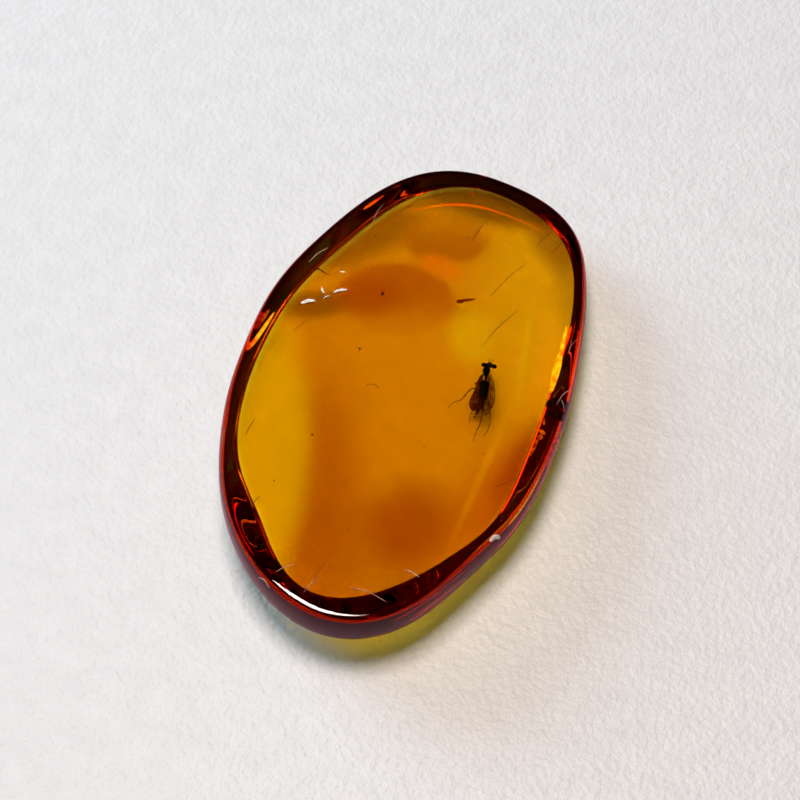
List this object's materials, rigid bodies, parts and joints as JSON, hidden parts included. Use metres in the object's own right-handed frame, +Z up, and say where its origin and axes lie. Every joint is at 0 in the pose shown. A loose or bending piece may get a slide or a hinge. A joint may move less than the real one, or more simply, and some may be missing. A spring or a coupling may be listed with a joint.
{
  "type": "insect in amber",
  "caption": "Flat, free-form oval of polished clear orange amber with a rounded, undercut edge and a small dark fly sealed inside.",
  "frame": {"origin": "centre of the stone's flat base, under the middle of its bounding box", "axes": "+Y along the stone's length, +X across its width, +Z up through its thickness"},
  "size_m": [0.0146, 0.024, 0.004],
  "materials": {
    "amber": "clear polished amber, deep honey orange, refractive index 1.54",
    "fly": "black-brown chitin, wings and limbs thinner and browner"
  },
  "bodies": {
    "root": {"amber_lower": "amber", "amber_upper": "amber", "fly": "fly"}
  },
  "joints": []
}
